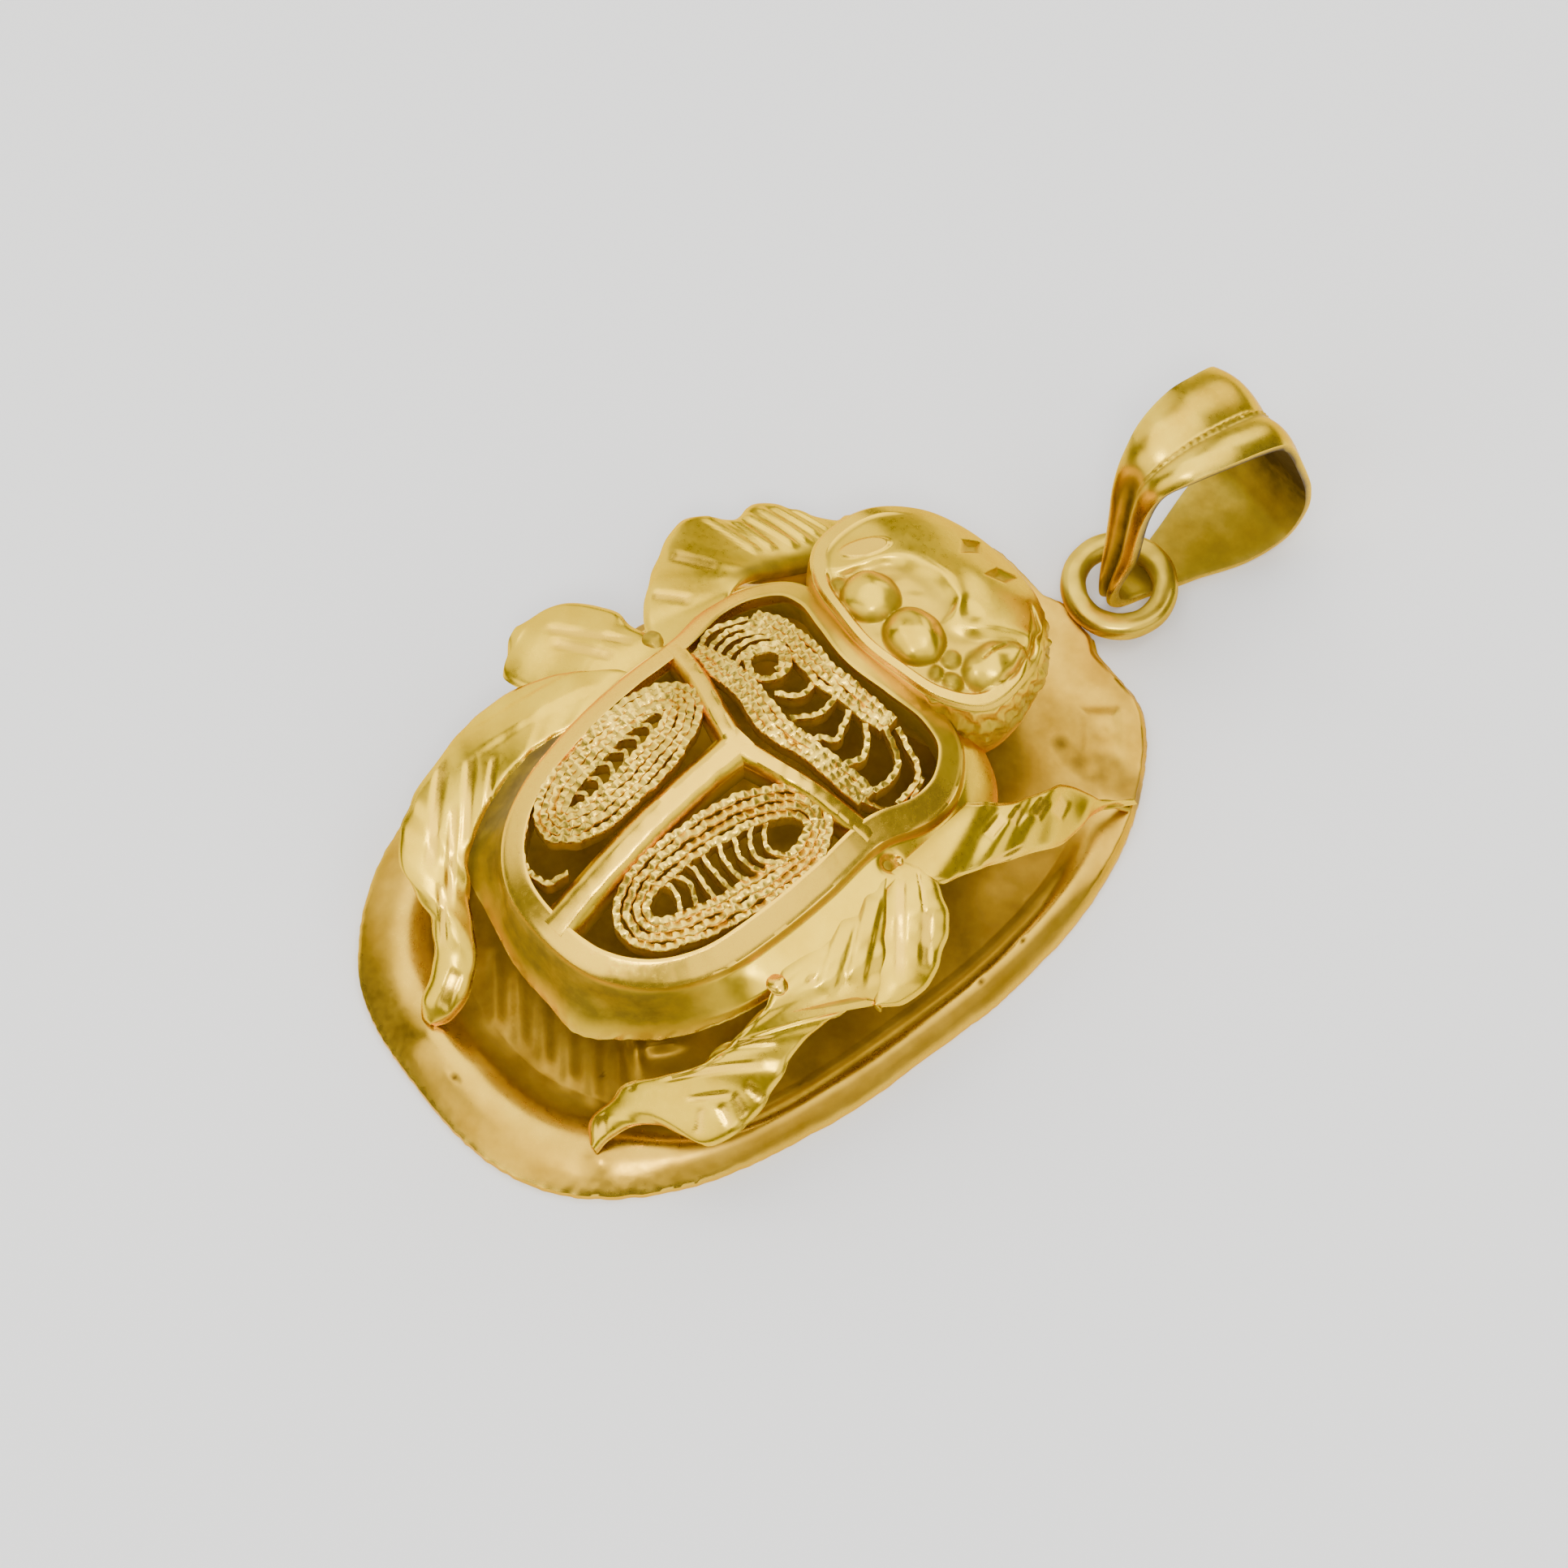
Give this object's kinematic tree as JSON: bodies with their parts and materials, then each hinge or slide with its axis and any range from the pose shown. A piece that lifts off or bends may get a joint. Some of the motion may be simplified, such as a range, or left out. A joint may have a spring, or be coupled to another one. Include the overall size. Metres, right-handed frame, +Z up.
{
  "type": "gold filigree scarab pendant",
  "caption": "Hollow gold scarab with leaf-like legs and open filigree cells on a stamped oval plate, hung from a soldered ring and a teardrop bail.",
  "frame": {"origin": "centre of the oval plate's flat underside, on the surface that the pendant lies on", "axes": "+Y from the tail to the head and the bail, +X to the scarab's right seen from above, +Z up out of the plate"},
  "size_m": [0.0199, 0.0383, 0.0094],
  "materials": {
    "plate_gold": "dull stamped gold, warmer than the scarab, with dirt in the recesses",
    "satin_gold": "greenish satin gold with bright-cut strokes",
    "wire_gold": "matt twisted wire",
    "polished_gold": "polished"
  },
  "bodies": {
    "root": {"base_plate": "plate_gold", "scarab": "satin_gold", "filigree_left": "wire_gold", "filigree_right": "wire_gold", "filigree_prothorax": "wire_gold", "hanging_ring": "polished_gold", "bail": "polished_gold"}
  },
  "joints": []
}
